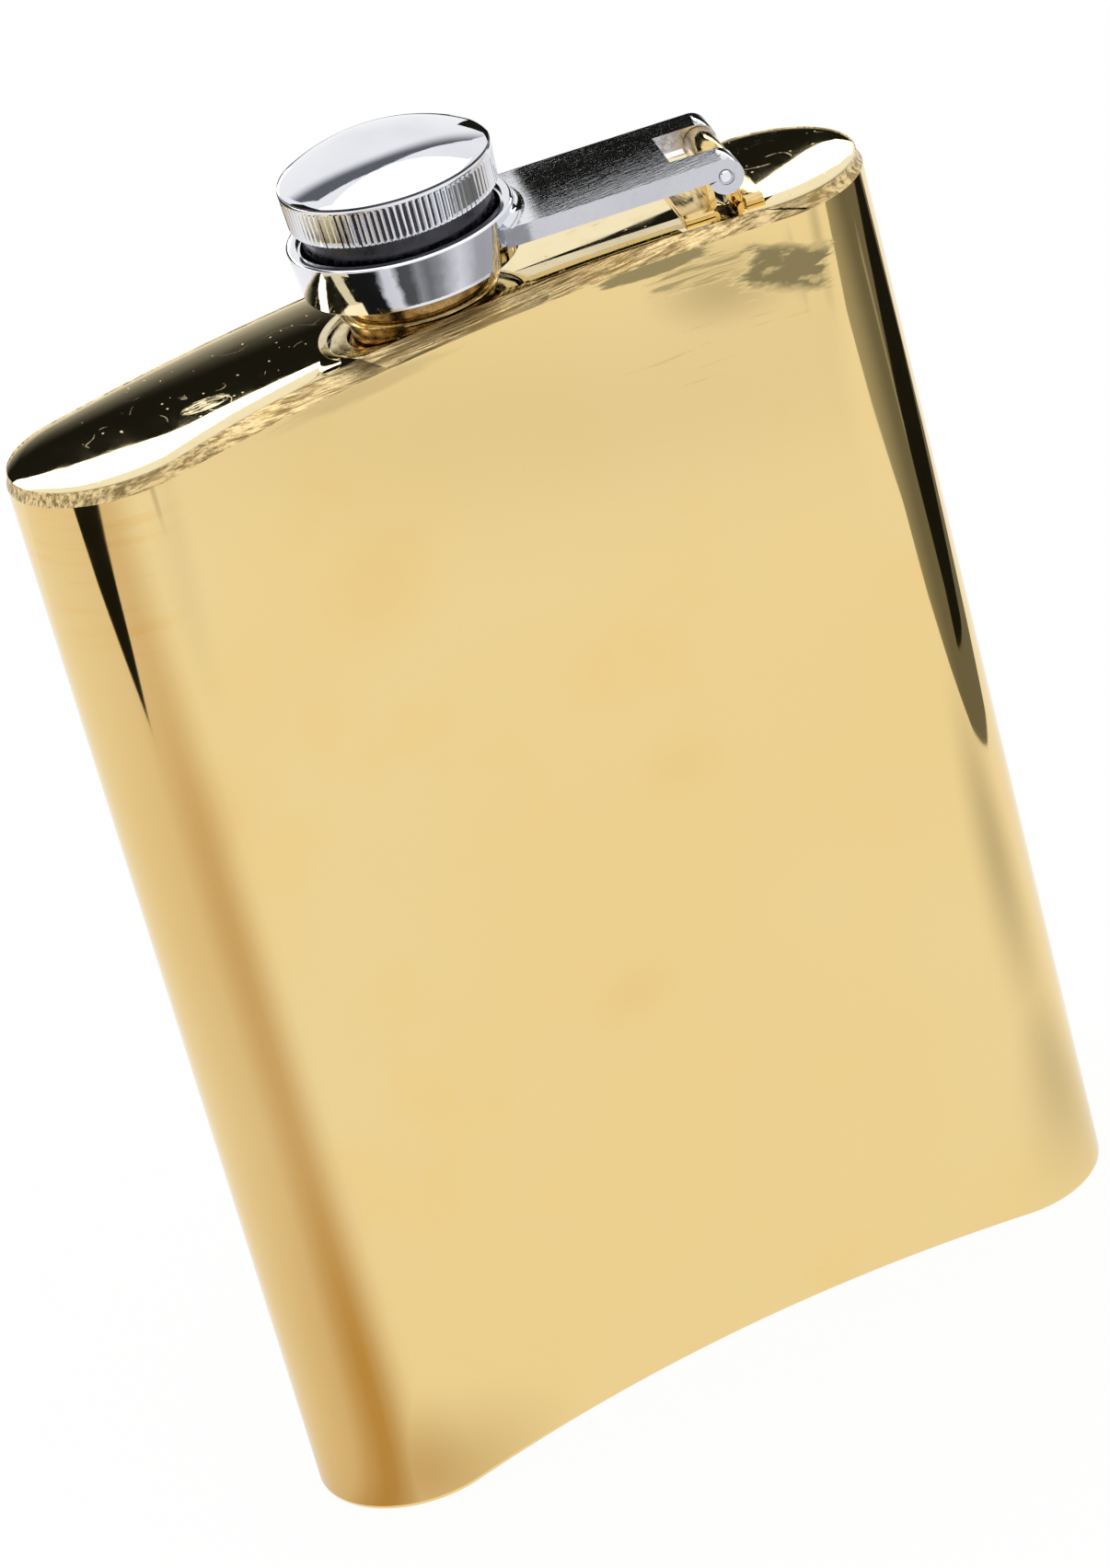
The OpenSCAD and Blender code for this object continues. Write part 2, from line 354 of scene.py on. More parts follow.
def mirrorGold():
    made = Finish("mirrorGold", {"Metallic": 1.0, "Roughness": 0.05})
    clouds = made.noise(0.025, 2.0)
    mottle = made.noise(0.07, 3.0, shift=(7, 3, 1))
    tone = made.blend(made.fade(clouds, 0.35, 0.75, 0.0, 0.35), goldTones["bright"], goldTones["pale"])
    tone = made.blend(made.fade(mottle, 0.55, 0.8, 0.0, 0.4), tone, goldTones["warm"])
    for place, reach, strength in warmClouds:
        tone = made.blend(made.spot(place, reach, mottle, 1.0, 0.9) * strength, tone, goldTones["orange"])
    streaks = made.noise(0.9, 3.0, 0.6, stretch=(0.09, 0.09, 1.6))
    wipes = made.noise(0.5, 3.0, 0.6, stretch=(0.12, 0.12, 1.3), shift=(2, 5, 1))
    sideTop = made.spot((-43, -9, 117), (10, 14, 22), mottle, 0.6, 0.8)
    tone = made.blend(made.fade(wipes, 0.5, 0.75, 0.0, 0.55) * sideTop, tone, goldTones["orange"])
    frontOnly = made.fade(made.y, -6.0, -8.0)
    # the patch has streaks running off its left side and darker streaky marks below it
    ragged = made.noise(0.8, 4.0, 0.65, stretch=(0.35, 0.35, 2.2))
    along, across = made.tilted(darkPatch["x"], darkPatch["z"], darkPatch["tilt"])
    torn = made.noise(0.6, 4.0, 0.6, stretch=(0.5, 0.5, 1.4), shift=(1, 4, 2))
    long = made.fade(abs(along) + (ragged - 0.5) * 6.5, 5.0, 3.4)
    wide = made.fade(abs(across) + torn * 2.6, 4.2, 3.0)
    patch = long * wide * made.fade(torn, 0.36, 0.5, 0.45, 1.0)
    brushed = made.spot((25.0, -12, 117.6), (6.5, 8, 1.7), ragged, 1.6, 0.4) * made.fade(streaks, 0.42, 0.6)
    rubs = made.spot((24.0, -11, 110.5), (13.0, 8, 5.0), ragged, 1.2, 0.5) * made.fade(streaks, 0.6, 0.72)
    strip = made.spot((20.5, -10, 119.9), (6.5, 8, 1.0), ragged, 0.7)
    faint = made.spot((-12.0, -10, 119.6), (12.0, 8, 1.2), ragged, 0.9, 0.6)
    worn = patch.most(brushed * 0.7).most(strip * 0.9).most(rubs * 0.25).most(faint * 0.25) * frontOnly
    tone = made.blend(worn, tone, goldTones["darkPatch"])
    made.feed("Base Color", tone)
    made.feed("Roughness", worn * 0.35 + made.fade(mottle, 0.3, 0.8, 0.035, 0.075))
    ripple = made.bump(made.noise(0.06, 1.0), 0.02, 0.15)
    made.feed("Normal", made.bump(streaks * worn.most(0.02), 0.03, 0.6, under=ripple))
    return made.material


def brushedBand():
    # the weld ground flat: fine lines along the edge, slanting like rope across the two round ends
    made = Finish("brushedBand", {"Metallic": 1.0, "Roughness": 0.3})
    along = made.noise(1.0, 4.0, 0.7, stretch=(0.10, 2.4, 2.4))
    fine = made.noise(1.0, 3.0, 0.7, stretch=(0.25, 5.0, 5.0), shift=(3, 1, 2))
    slant = made.noise(1.3, 3.0, 0.6, stretch=(0.25, 2.2, 1.0), turn=(0.2, 0.0, 0.9))
    ends = made.fade(abs(made.x), 33.0, 38.0)
    grain = (along * (1 - ends) + slant * ends) * 0.65 + fine * 0.35
    tone = made.blend(made.fade(grain, 0.40, 0.60), goldTones["groove"], goldTones["ground"])
    tone = made.blend(made.fade(made.noise(0.12, 2.0), 0.4, 0.75, 0.0, 0.4), tone, goldTones["warm"])
    made.feed("Base Color", tone)
    made.feed("Roughness", made.fade(grain, 0.3, 0.7, 0.40, 0.16))
    made.feed("Normal", made.bump(grain, 0.12, 0.8))
    return made.material


def plateGold():
    made = Finish("plateGold", {"Metallic": 1.0, "Roughness": 0.04})
    thin = made.noise(0.35, 2.0)
    specks = made.fade(made.cells(0.75), 0.11, 0.07) * made.fade(thin, 0.45, 0.55)
    lines = made.noise(1.4, 3.0, 0.7, stretch=(0.4, 2.0, 1.0), turn=(0, 0, 0.35))
    leaf = made.spot((-26.3, -3.2, 122), (3.0, 1.7, 4), lines, 0.9) * made.fade(lines, 0.45, 0.6)
    hair = made.fade(abs(made.noise(0.16, 1.0, shift=(4, 0, 2)) - 0.5), 0.004, 0.002)
    hair = hair * made.fade(thin, 0.5, 0.6)
    pitted = made.noise(2.4, 2.0)
    rough = made.spot((39.0, 5.0, 122), (6.5, 4.0, 4), pitted, 1.2)
    worn = (leaf * 0.6).most(specks).most(rough * made.fade(pitted, 0.55, 0.68) * 0.3).most(hair * 0.3)
    tone = made.blend(made.fade(thin, 0.4, 0.7, 0.0, 0.5), goldTones["plate"], goldTones["pale"])
    made.feed("Base Color", tone)
    made.feed("Roughness", worn * 0.45 + made.fade(thin, 0.3, 0.7, 0.02, 0.05))
    height = specks + pitted * rough * 0.2 + lines * leaf * 0.3 + hair * 0.2
    made.feed("Normal", made.bump(height, 0.02, 0.5))
    return made.material


def plainGold(name, roughness, scratch, tones=("bright", "warm")):
    made = Finish(name, {"Metallic": 1.0, "Roughness": roughness})
    clouds = made.noise(0.25, 3.0)
    lines = made.noise(1.0, 4.0, 0.65, stretch=(3.0, 0.5, 3.0))
    tone = made.blend(made.fade(clouds, 0.4, 0.7, 0.0, 0.7), *(goldTones[t] for t in tones))
    made.feed("Base Color", made.blend(made.fade(lines, 0.55, 0.75, 0.0, 0.4), tone, goldTones["groove"]))
    made.feed("Roughness", made.fade(lines, 0.35, 0.7, roughness * 0.6, roughness * 1.6))
    made.feed("Normal", made.bump(lines, scratch, 0.6))
    return made.material


def chrome(name, roughness, scratch, fine=1.0, tones=("bright", "dull")):
    made = Finish(name, {"Metallic": 1.0, "Roughness": roughness})
    clouds = made.noise(0.12, 2.0)
    lines = made.noise(fine, 4.0, 0.65, stretch=(0.5, 2.4, 1.0), turn=(0, 0, 0.5))
    tone = made.blend(made.fade(clouds, 0.4, 0.75, 0.0, 0.35), *(chromeTones[t] for t in tones))
    made.feed("Base Color", tone)
    made.feed("Roughness", made.fade(lines, 0.4, 0.75, roughness * 0.7, roughness * 2.0))
    made.feed("Normal", made.bump(lines, scratch, 0.5))
    return made.material


def silicone():
    made = Finish("siliconeSeal", {"Roughness": 0.55, "Specular IOR Level": 0.4})
    clouds = made.noise(0.5, 3.0)
    tone = made.blend(made.fade(clouds, 0.3, 0.7), (0.72, 0.71, 0.68, 1), (0.62, 0.61, 0.57, 1))
    made.feed("Base Color", tone)
    made.feed("Normal", made.bump(made.noise(3.0, 2.0), 0.02, 0.4))
    return made.material


bodyGold = mirrorGold()
bandGold = brushedBand()
lidGold = plateGold()
strapGold = plainGold("strapGold", 0.1, 0.02)
beadGold = plainGold("beadGold", 0.18, 0.04)
# the neck's gold is painted dark brown: painted shade, for the shadow under the ring
shadedNeckGold = plainGold("shadedNeckGold", 0.2, 0.02, ("deep", "groove"))
domeChrome = chrome("domeChrome", 0.035, 0.002)
knurlChrome = chrome("knurlChrome", 0.07, 0.004)
castChrome = chrome("castChrome", 0.05, 0.010, 0.5)
armTopChrome = chrome("armTopChrome", 0.06, 0.05, 1.1)
satinChrome = chrome("satinChrome", 0.30, 0.01, 2.0, ("satin", "satinDull"))
gapShadeSteel = chrome("gapShadeSteel", 0.30, 0.01, 1.0, ("dark", "darker"))        # painted shade: near-black steel for the gaps and recesses
innerChrome = chrome("innerChrome", 0.16, 0.01)
pinSteel = chrome("pinSteel", 0.2, 0.01, 3.0)
sealRubber = silicone()
print("finishes made")


def makeBody():
    top = flask["height"] - flask["bandHeight"]
    piece = kidney(0, 0, 0, flask["bandHeight"])
    useOnly(piece)
    editing(True)
    everything()
    pull(0, 0, top - flask["bandHeight"])
    weld()
    editing(False)
    reshape(piece, "SOLIDIFY", thickness=flask["sheet"], offset=-1)
    return finishPiece(piece, "flaskBody", "flask", ["body_shell"], [bodyGold])


plate = {
    "sides": 0.45, "front": 2.3, "back": 0.75,            # how far the plate's edge lies in from the body's
    "thickness": 0.7, "gap": 0.02, "neckHole": 7.6,
    "crown": [(0.35, 0.10), (0.8, 0.07), (1.4, 0.05), (1.8, 0.02)],   # inset and rise of each step
    "lastInset": 0.3,
}


def makePlate(name, node, up):
    rise = sum(step[1] for step in plate["crown"])
    sides, front, back = (plate[k] + plate["gap"] for k in ("sides", "front", "back"))
    piece = kidney(sides, front, back, flask["height"] - rise)
    useOnly(piece)
    editing(True)
    everything()
    bpy.ops.mesh.edge_face_add()
    for inset, lift in plate["crown"]:
        bpy.ops.mesh.inset(thickness=inset, depth=0, use_even_offset=True)
        bpy.ops.transform.translate(value=(0, 0, lift))
    bpy.ops.mesh.inset(thickness=plate["lastInset"], depth=0, use_even_offset=True)
    editing(False)
    facesUp = piece.data.polygons[0].normal.z > 0
    downwards = -1 if facesUp else 1
    reshape(piece, "SOLIDIFY", thickness=plate["thickness"] - rise, offset=downwards)
    if up:
        bpy.ops.object.select_all(action="DESELECT")
        bpy.ops.mesh.primitive_cylinder_add(vertices=96, radius=plate["neckHole"], depth=6,
                                            location=(0, capPlace["y"], flask["height"]))
        carve(piece, bpy.context.object)
    else:
        turnOver(piece)
    return finishPiece(piece, name, "flask", [node], [lidGold], smooth=25)


def turnOver(piece):
    # the base is the top mirrored in height
    useOnly(piece)
    piece.scale = (1, 1, -1)
    piece.location = (0, 0, flask["height"])
    bpy.ops.object.transform_apply(location=True, rotation=False, scale=True)
    weld()
    editing(False)


# A band's steps: how far in at its sides, front and back, and how far from the flask's end.
slopingBand = [(0, 0, 0, 1.6), (0.06, 0.1, 0.06, 1.42), (0.41, 2.24, 0.70, 0.16)]
roundedBand = [(0, 0, 0, 1.6), (0, 0, 0, 0.5), (0.05, 0.05, 0.05, 0.26), (0.16, 0.2, 0.18, 0.09),
               (0.32, 0.5, 0.4, 0.02)]
bandLip = {"width": 0.45, "depth": 0.8}                   # its inner lip, under the plate's edge


def makeBand(name, node, profile, up, finishes):
    # a weld between wall and plate
    h = flask["height"]
    edge = tuple(plate[k] for k in ("sides", "front", "back"))
    lip = tuple(inset + bandLip["width"] for inset in edge)
    edgeDepth = 0.1 + sum(step[1] for step in plate["crown"]) * 0.5
    steps = profile + [(*edge, edgeDepth), (*lip, bandLip["depth"]), (*lip, flask["bandHeight"])]
    piece = bridge([kidney(sides, front, back, h - down) for sides, front, back, down in steps])
    if not up:
        turnOver(piece)
    return finishPiece(piece, name, "flask", [node], finishes, smooth=25)


makeBody()
makePlate("topPlate", "top_plate", True)
makePlate("basePlate", "base_plate", False)
makeBand("topBand", "top_weld", slopingBand, True, [bandGold])
base = makeBand("baseBand", "base_weld", roundedBand, False, [bodyGold, bandGold])
for face in base.data.polygons:
    if face.normal.z < -0.9:
        face.material_index = 1                           # only its underside shows the grinding

neck = {"bore": 6.6, "outer": 7.6, "height": 5.4, "flange": 9.4, "flangeTop": -0.7, "flangeBottom": -1.5,
        "crest": 8.0, "pitch": 1.5, "turns": 1.2, "threadLow": 2.9}
insert = {"outer": 8.95, "bore": 8.25, "bottom": 3.0, "roofLow": 8.65, "roofTop": 9.45, "roofMiddle": 4.0,
          "lip": 9.35, "lipTop": 3.2, "crest": 7.78, "threadLow": 5.15, "turns": 1.0}
threadWidth = {"neck": 0.75, "insert": 0.55}
wallOverlap = 0.1                                         # how deep a thread's root stands in its wall


def makeThread(owner, root, width):
    # a ridge carried round and up; its two ends sink back into the wall
    crest, low, turns = owner["crest"], owner["threadLow"], owner["turns"]
    dot(root, 0, low - width / 2)
    pull(crest - root, 0, width * 0.3)
    pull(0, 0, width * 0.4)
    pull(root - crest, 0, width * 0.3)
    everything()
    bpy.ops.mesh.edge_face_add()
    editing(False)
    piece = bpy.context.object
    steps = int(48 * turns)
    reshape(piece, "SCREW", axis="Z", angle=math.radians(360 * turns), screw_offset=neck["pitch"] * turns,
            steps=steps, render_steps=steps)

    def fromEnd(point):
        # turns between this point and the nearer end of the ridge
        angle = math.atan2(point.y, point.x) / (2 * math.pi)
        turn = angle + round((point.z - low) / neck["pitch"] - angle)
        return min(turn, turns - turn)
    for share in (0.035, 0.012):
        pick(lambda point: fromEnd(point) < share)
        size = 1 + (root / crest - 1) * 0.6
        bpy.ops.transform.resize(value=(size, size, 1), center_override=(0, 0, 0))
    weld()
    editing(False)
    return piece


def makeNeck():
    n = neck
    tube = turned(96, [(n["bore"], n["flangeBottom"]), (n["flange"], n["flangeBottom"]),
                       (n["flange"], n["flangeTop"]), (n["outer"], n["flangeTop"]),
                       (n["outer"], n["height"] - 0.45), (n["outer"] - 0.25, n["height"] - 0.1),
                       (n["outer"] - 0.5, n["height"]), (n["bore"] + 0.15, n["height"]),
                       (n["bore"], n["height"] - 0.15), (n["bore"], n["flangeBottom"])])
    thread = makeThread(n, n["outer"] - wallOverlap, threadWidth["neck"])
    joinTo(tube, thread)
    return finishPiece(tube, "neckTube", "flask", ["neck"], [shadedNeckGold], onCap=True)


bead = {
    "outline": [(7.62, 0.0), (8.45, 0.0), (8.42, 0.12), (8.2, 0.3), (7.9, 0.45), (7.66, 0.5), (7.62, 0.3),
                (7.62, 0.0)],
    "lumpSize": 0.9, "lumpHeight": 0.08, "lumpLevel": 0.9,
}


def makeBead():
    piece = turned(144, bead["outline"])
    lumps = bpy.data.textures.new("beadLumps", "CLOUDS")
    lumps.noise_scale = bead["lumpSize"]
    reshape(piece, "DISPLACE", texture=lumps, strength=bead["lumpHeight"], mid_level=bead["lumpLevel"])
    return finishPiece(piece, "neckBead", "flask", ["neck_weld"], [beadGold], onCap=True)


hinge = {"x": 32.0, "z": 4.6, "pin": 0.65, "knuckle": 1.85, "width": 15.0, "thick": 2.0, "slot": 7.6,
         "slotFrom": 27.4, "sinkRadius": 0.85, "sink": 0.35, "pinInset": 0.1,
         "strap": 0.7, "strapWidth": 7.2, "loop": 1.65, "footLeft": 3.1, "footRight": 1.9, "footWidth": 10.4,
         "bend": 0.35, "footFrom": 0.35}


def makeBracket():
    # a strip that runs along the plate, up, over the pin and down again
    h = hinge
    mid = h["loop"] - h["strap"] / 2
    bend = h["bend"]
    dot(h["x"] - h["loop"] - h["footLeft"], -h["strapWidth"] / 2, h["strap"] / 2)
    pull(h["footLeft"] + h["strap"] / 2 - bend, 0, 0)
    left = h["x"] - mid
    sweep(5, 90, (left - bend, 0, h["strap"] / 2 + bend), (0, -1, 0))
    pull(0, 0, h["z"] - h["strap"] / 2 - bend)
    sweep(14, 180, (h["x"], 0, h["z"]), (0, 1, 0))
    pull(0, 0, -(h["z"] - h["strap"] / 2 - bend))
    sweep(5, 90, (h["x"] + mid + bend, 0, h["strap"] / 2 + bend), (0, -1, 0))
    pull(h["footRight"] + h["strap"] / 2 - bend, 0, 0)
    everything()
    pull(0, h["strapWidth"], 0)
    weld()
    editing(False)
    piece = bpy.context.object
    reshape(piece, "SOLIDIFY", thickness=h["strap"], offset=0)
    for side in (-1, 1):
        # each foot is wider than the strap
        clear = h["loop"] + h["footFrom"]
        for low, high in ((h["x"] - h["loop"] - h["footLeft"] - 1, h["x"] - clear),
                          (h["x"] + clear, h["x"] + h["loop"] + h["footRight"] + 1)):
            pick(lambda c, n: n.y * side > 0.9 and low < c.x < high and c.z < h["strap"], "FACE")
            pull(0, side * (h["footWidth"] - h["strapWidth"]) / 2, 0)
    weld()
    editing(False)
    softenEdges(piece, 0.09, 2, 40)
    return finishPiece(piece, "bracketStrap", "flask", ["hinge_bracket"], [strapGold],
                       onCap=True)


def makePin():
    h = hinge
    half = h["width"] / 2 - h["pinInset"]
    end = [(0.05, 0.05), (0.3, 0.04), (0.5, 0.0), (h["pin"], 0.12)]       # a shallow dimple, a rounded edge
    piece = turned(32, [(radius, -half + inset) for radius, inset in end]
                   + [(radius, half - inset) for radius, inset in reversed(end)])
    useOnly(piece)
    editing(True)
    everything()
    bpy.ops.mesh.fill_holes(sides=64)
    editing(False)
    piece.rotation_euler = (math.radians(90), 0, 0)
    piece.location = (h["x"], 0, h["z"])
    bpy.ops.object.transform_apply(location=True, rotation=True, scale=False)
    return finishPiece(piece, "hingePin", "flask", ["hinge_pin"], [pinSteel], onCap=True)


makeNeck()
makeBead()
makeBracket()
makePin()

ring = {"low": 2.9, "top": 8.05, "lowRadius": 11.2, "topRadius": 11.7, "edge": 0.2, "step": 0.65,
        "mouth": 10.65, "bore": 10.3, "floorLow": 4.0, "floorTop": 4.9, "hole": 9.15}
arm = {"notchAt": 192, "wrap": 258, "wrapSteps": 44, "innerEnd": 9.0, "ringRadius": 11.0,
       "heel": 1.75, "heelRamp": 0.75, "heelLift": 0.03, "pinPlay": 0.05, "soft": 0.13,
       "blendFrom": -38, "blendSpan": 76, "blendReach": 1.1, "blendRadius": 11.5}


def makeArm():
    h = hinge
    armTop = h["z"] + h["knuckle"]
    notch = math.radians(arm["notchAt"])
    half = h["width"] / 2
    dot(h["x"] + h["knuckle"] * math.cos(notch), -half, h["z"] + h["knuckle"] * math.sin(notch))
    sweep(arm["wrapSteps"], arm["wrap"], (h["x"], -half, h["z"]), (0, -1, 0))
    pull(arm["innerEnd"] - h["x"], 0, 0)
    pull(0, 0, -h["thick"])
    pull(h["x"] - arm["heel"] - arm["innerEnd"], 0, 0)
    pull(arm["heelRamp"], 0, arm["heelLift"])
    everything()
    bpy.ops.mesh.edge_face_add()
    pull(0, h["width"], 0)
    weld()
    editing(False)
    casting = bpy.context.object
    bpy.ops.mesh.primitive_cube_add(size=1, location=(h["slotFrom"] + 5, 0, armTop))
    bpy.context.object.scale = (10, h["slot"], 12)
    carve(casting, bpy.context.object)
    bpy.ops.mesh.primitive_cylinder_add(vertices=128, radius=arm["ringRadius"], depth=20,
                                        location=(0, 0, armTop))
    carve(casting, bpy.context.object)
    for side in (-1, 1):
        bpy.ops.mesh.primitive_cylinder_add(vertices=48, radius=h["sinkRadius"], depth=1,
                                            location=(h["x"], side * (half - h["sink"] + 0.5), h["z"]),
                                            rotation=(math.radians(90), 0, 0))
        carve(casting, bpy.context.object)
    bpy.ops.mesh.primitive_cylinder_add(vertices=48, radius=h["pin"] + arm["pinPlay"], depth=20,
                                        location=(h["x"], 0, h["z"]), rotation=(math.radians(90), 0, 0))
    carve(casting, bpy.context.object)
    softenEdges(casting, arm["soft"], 3, 28)
    r = ring
    rim = turned(160, [(r["lowRadius"], r["low"]), (r["topRadius"], r["top"] - r["edge"]),
                       (r["topRadius"] - r["edge"], r["top"]), (r["mouth"], r["top"]),
                       (r["mouth"], r["top"] - r["step"]), (r["bore"], r["top"] - r["step"]),
                       (r["bore"], r["floorTop"]), (r["hole"], r["floorTop"]), (r["hole"], r["floorLow"]),
                       (r["bore"], r["floorLow"]), (r["bore"], r["low"]), (r["lowRadius"], r["low"])])
    softenEdges(rim, 0.07, 2, 30)
    joinTo(casting, rim, makeJoint())
    piece = finishPiece(casting, "capArm", "arm", ["cap_arm"],
                        [castChrome, armTopChrome, satinChrome, gapShadeSteel], onCap=True)
    for face in piece.data.polygons:
        out, high = fromCap(face.center)
        toAxis = Vector((0, capPlace["y"] * millimetre, face.center.z)) - face.center
        inward = face.normal.dot(toAxis) > 0
        inCup = out < r["mouth"] + 0.1 and r["floorLow"] + 0.1 < high < r["top"] - 0.1
        if face.normal.z > 0.98 and abs(high - armTop) < 0.1 and out > r["topRadius"]:
            face.material_index = 1                       # the arm's flat top
        elif out > r["topRadius"] + 0.6 and abs(face.normal.z) < 0.3 and high < armTop:
            face.material_index = 2                       # its sides
        elif inCup and (inward or out < r["bore"]):
            face.material_index = 3                       # inside the ring, in painted shade
    return piece


def fromCap(point):
    # how far a finished point is from the cap's axis, and how high above the plate, in millimetres
    x, y, z = (value / millimetre for value in point)
    return math.hypot(x, y - capPlace["y"]), z - capPlace["z"]


def makeJoint():
    # the casting's soft blend from the ring's wall down on to the arm
    armTop = hinge["z"] + hinge["knuckle"]
    reach = arm["blendReach"]
    start = math.radians(arm["blendFrom"])
    radius = arm["blendRadius"]
    dot(radius * math.cos(start), radius * math.sin(start), armTop + reach)
    points = [(radius, armTop + reach)]
    for i in range(1, 7):
        a = math.radians(15 * i)
        points.append((radius + reach * (1 - math.cos(a)), armTop + reach * (1 - math.sin(a))))
    points.append((radius - 0.1, armTop - 0.05))
    last = points[0]
    for r, z in points[1:]:
        pull((r - last[0]) * math.cos(start), (r - last[0]) * math.sin(start), z - last[1])
        last = (r, z)
    everything()
    bpy.ops.mesh.edge_face_add()
    sweep(48, arm["blendSpan"], (0, 0, 0), (0, 0, 1))
    weld()
    editing(False)
    return bpy.context.object


washer = {"bore": 9.0, "outer": 10.0, "low": 3.25, "top": 3.95}
seal = {"bore": 2.0, "outer": 8.2, "low": 7.45, "top": 8.6}


def flatRing(r):
    return turned(96, [(r["bore"], r["low"]), (r["outer"], r["low"]), (r["outer"], r["top"]),
                       (r["bore"], r["top"]), (r["bore"], r["low"])])


def makeWasher():
    piece = flatRing(washer)
    softenEdges(piece, 0.1, 2, 40)
    return finishPiece(piece, "retainingRing", "cap_carrier", ["retaining_washer"],
                       [innerChrome], onCap=True)


makeArm()
makeWasher()

cap = {"skirt": 9.9, "skirtLow": 7.2, "inside": 8.95, "knurlLow": 10.1, "knurlTop": 14.1, "lowRadius": 10.8,
       "topRadius": 11.0, "top": 17.5, "domeRadius": 20.5, "wall": 1.0, "ridges": 100, "depth": 0.42}
# the grooves' share of their full depth at heights from the knurl's lower and upper edge
grooves = [("knurlLow", 0.12, 0.9), ("knurlLow", 0.4, 1.0), ("knurlTop", -0.95, 1.0),
           ("knurlTop", -0.6, 0.85), ("knurlTop", -0.4, 0.5), ("knurlTop", -0.28, 0.0)]


def makeInsert():
    n = insert
    piece = turned(96, [(n["bore"], n["bottom"]), (n["lip"], n["bottom"]), (n["lip"], n["lipTop"]),
                        (n["outer"], n["lipTop"]), (n["outer"], n["roofTop"]),
                        (n["roofMiddle"], n["roofTop"]), (nearPole, n["roofTop"])], pole=True)
    inner = turned(96, [(n["bore"], n["bottom"]), (n["bore"], n["roofLow"]),
                        (n["roofMiddle"], n["roofLow"]), (nearPole, n["roofLow"])], pole=True)
    joinTo(piece, inner)
    weld()
    editing(False)
    softenEdges(piece, 0.05, 2, 40)
    thread = makeThread(n, n["bore"] + wallOverlap, threadWidth["insert"])
    joinTo(piece, thread)
    return finishPiece(piece, "capInsert", "cap", ["cap_insert"], [innerChrome], onCap=True)


def makeCap():
    c = cap
    steps = c["ridges"] * 4
    span = c["knurlTop"] - c["knurlLow"]

    def wide(z):
        return c["lowRadius"] + (c["topRadius"] - c["lowRadius"]) * (z - c["knurlLow"]) / span
    centre = c["top"] - c["domeRadius"]
    rings = [(c["inside"], c["skirtLow"]), (c["skirt"] - 0.15, c["skirtLow"]),
             (c["skirt"], c["skirtLow"] + 0.15), (c["skirt"], c["knurlLow"])]
    cut = {}                                              # how deep the grooves are at each height
    rings.append((wide(c["knurlLow"]) - 0.12, c["knurlLow"]))
    for level, up, deep in grooves:
        z = c[level] + up
        rings.append((wide(z), z))
        cut[round(z, 3)] = deep * c["depth"]
    rings.append((wide(c["knurlTop"]), c["knurlTop"] - 0.05))
    edge = c["topRadius"] - 0.12
    rings.append((c["topRadius"] - 0.03, c["knurlTop"] + 0.05))
    first = math.degrees(math.asin(edge / c["domeRadius"]))
    for i in range(24):
        a = math.radians(first * (1 - i / 24) ** 1.15)
        rings.append((c["domeRadius"] * math.sin(a), centre + c["domeRadius"] * math.cos(a)))
    rings.append((nearPole, c["top"]))
    outside = turned(steps, rings, pole=True)
    for z, deep in cut.items():
        if deep:
            step = 2 * math.pi / steps
            pick(lambda p: abs(p.z - z) < 0.004 and math.hypot(p.x, p.y) > 10.2 and
                 round(math.atan2(p.y, p.x) / step) % 4 in (2, 3))
            size = (wide(z) - deep) / wide(z)
            bpy.ops.transform.resize(value=(size, size, 1), center_override=(0, 0, z))
    editing(False)
    under = c["domeRadius"] - c["wall"]
    rings = [(c["inside"], c["skirtLow"]), (c["inside"], c["knurlTop"] + 0.1)]
    first = math.degrees(math.asin(c["inside"] / under))
    for i in range(1, 8):
        a = math.radians(first * (1 - i / 8))
        rings.append((under * math.sin(a), centre + under * math.cos(a)))
    rings.append((nearPole, centre + under))
    inside = turned(steps, rings, pole=True)
    joinTo(outside, inside)
    weld()
    editing(False)
    piece = finishPiece(outside, "capShell", "cap", ["cap_shell"],
                        [domeChrome, knurlChrome, gapShadeSteel], onCap=True, smooth=38)
    for face in piece.data.polygons:
        out, high = fromCap(face.center)
        if high < c["knurlLow"] + 0.05 or c["knurlTop"] + 0.1 < high < c["knurlTop"] + 0.3:
            face.material_index = 2                       # the skirt and the fine step under the dome, in painted shade
        elif high < c["knurlTop"] - 0.1:
            # the knurl's groove bottoms take the painted shade, its ridges stay polished
            face.material_index = 2 if wide(high) - out > c["depth"] * 0.6 else 1
    return piece


def makeSeal():
    piece = flatRing(seal)
    softenEdges(piece, 0.15, 3, 40)
    return finishPiece(piece, "sealRing", "cap", ["sealing_gasket"], [sealRubber], onCap=True)


makeInsert()
makeCap()
makeSeal()

